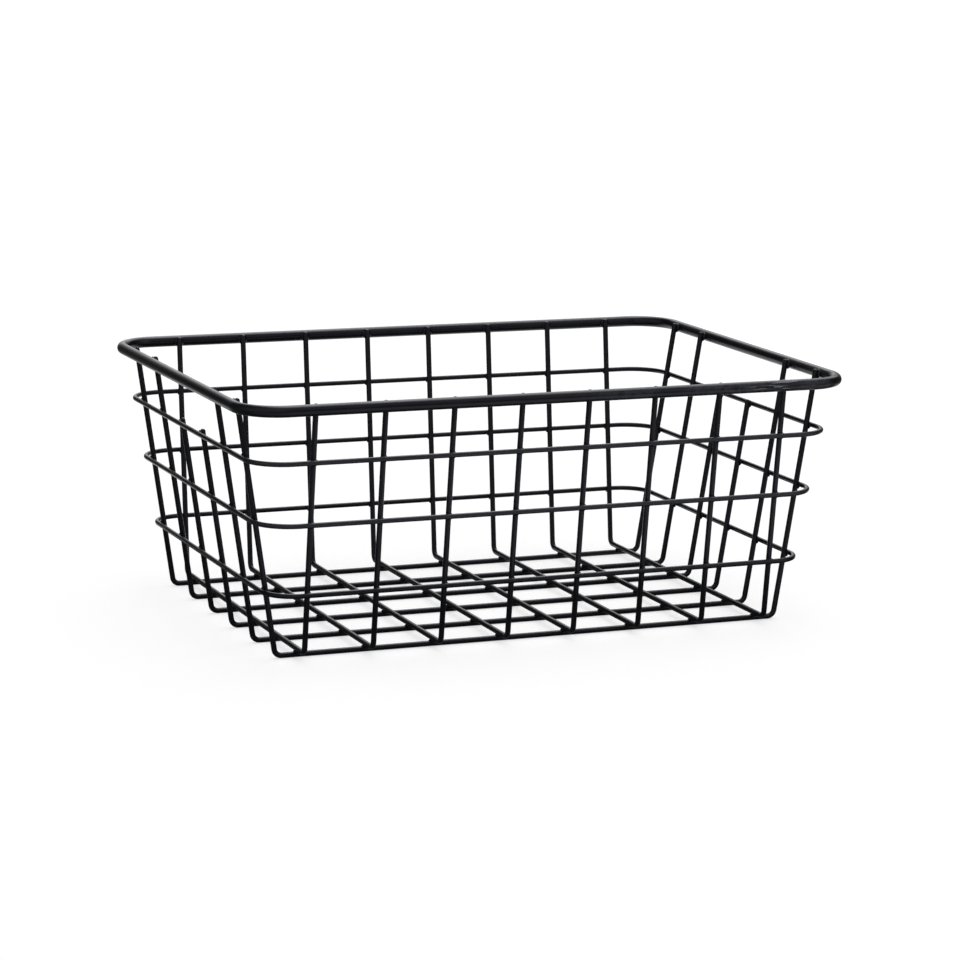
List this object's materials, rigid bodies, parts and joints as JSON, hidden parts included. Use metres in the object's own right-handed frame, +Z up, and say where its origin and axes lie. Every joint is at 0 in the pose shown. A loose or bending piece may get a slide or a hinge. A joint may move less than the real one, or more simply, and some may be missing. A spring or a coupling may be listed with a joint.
{
  "type": "wire basket",
  "caption": "Open rectangular wire locker basket with tapering welded-grid walls, a thick rounded rim and a hand hole in each end.",
  "frame": {"origin": "middle of the basket's footprint, on the surface that it stands on", "axes": "+X along the basket's length, +Y towards its back long side, +Z up out of the open mouth"},
  "size_m": [0.35, 0.25, 0.14],
  "materials": {
    "powder_coat": "black satin powder coat over welded steel wire"
  },
  "bodies": {
    "root": {"rim": "powder_coat", "upper_hoop": "powder_coat", "middle_hoop": "powder_coat", "lower_hoop": "powder_coat", "lengthwise_wire_1": "powder_coat", "lengthwise_wire_2": "powder_coat", "lengthwise_wire_3": "powder_coat", "lengthwise_wire_4": "powder_coat", "lengthwise_wire_5": "powder_coat", "lengthwise_wire_6": "powder_coat", "crosswise_wire_1": "powder_coat", "crosswise_wire_2": "powder_coat", "crosswise_wire_3": "powder_coat", "crosswise_wire_4": "powder_coat", "crosswise_wire_5": "powder_coat", "crosswise_wire_6": "powder_coat", "crosswise_wire_7": "powder_coat", "crosswise_wire_8": "powder_coat"}
  },
  "joints": []
}
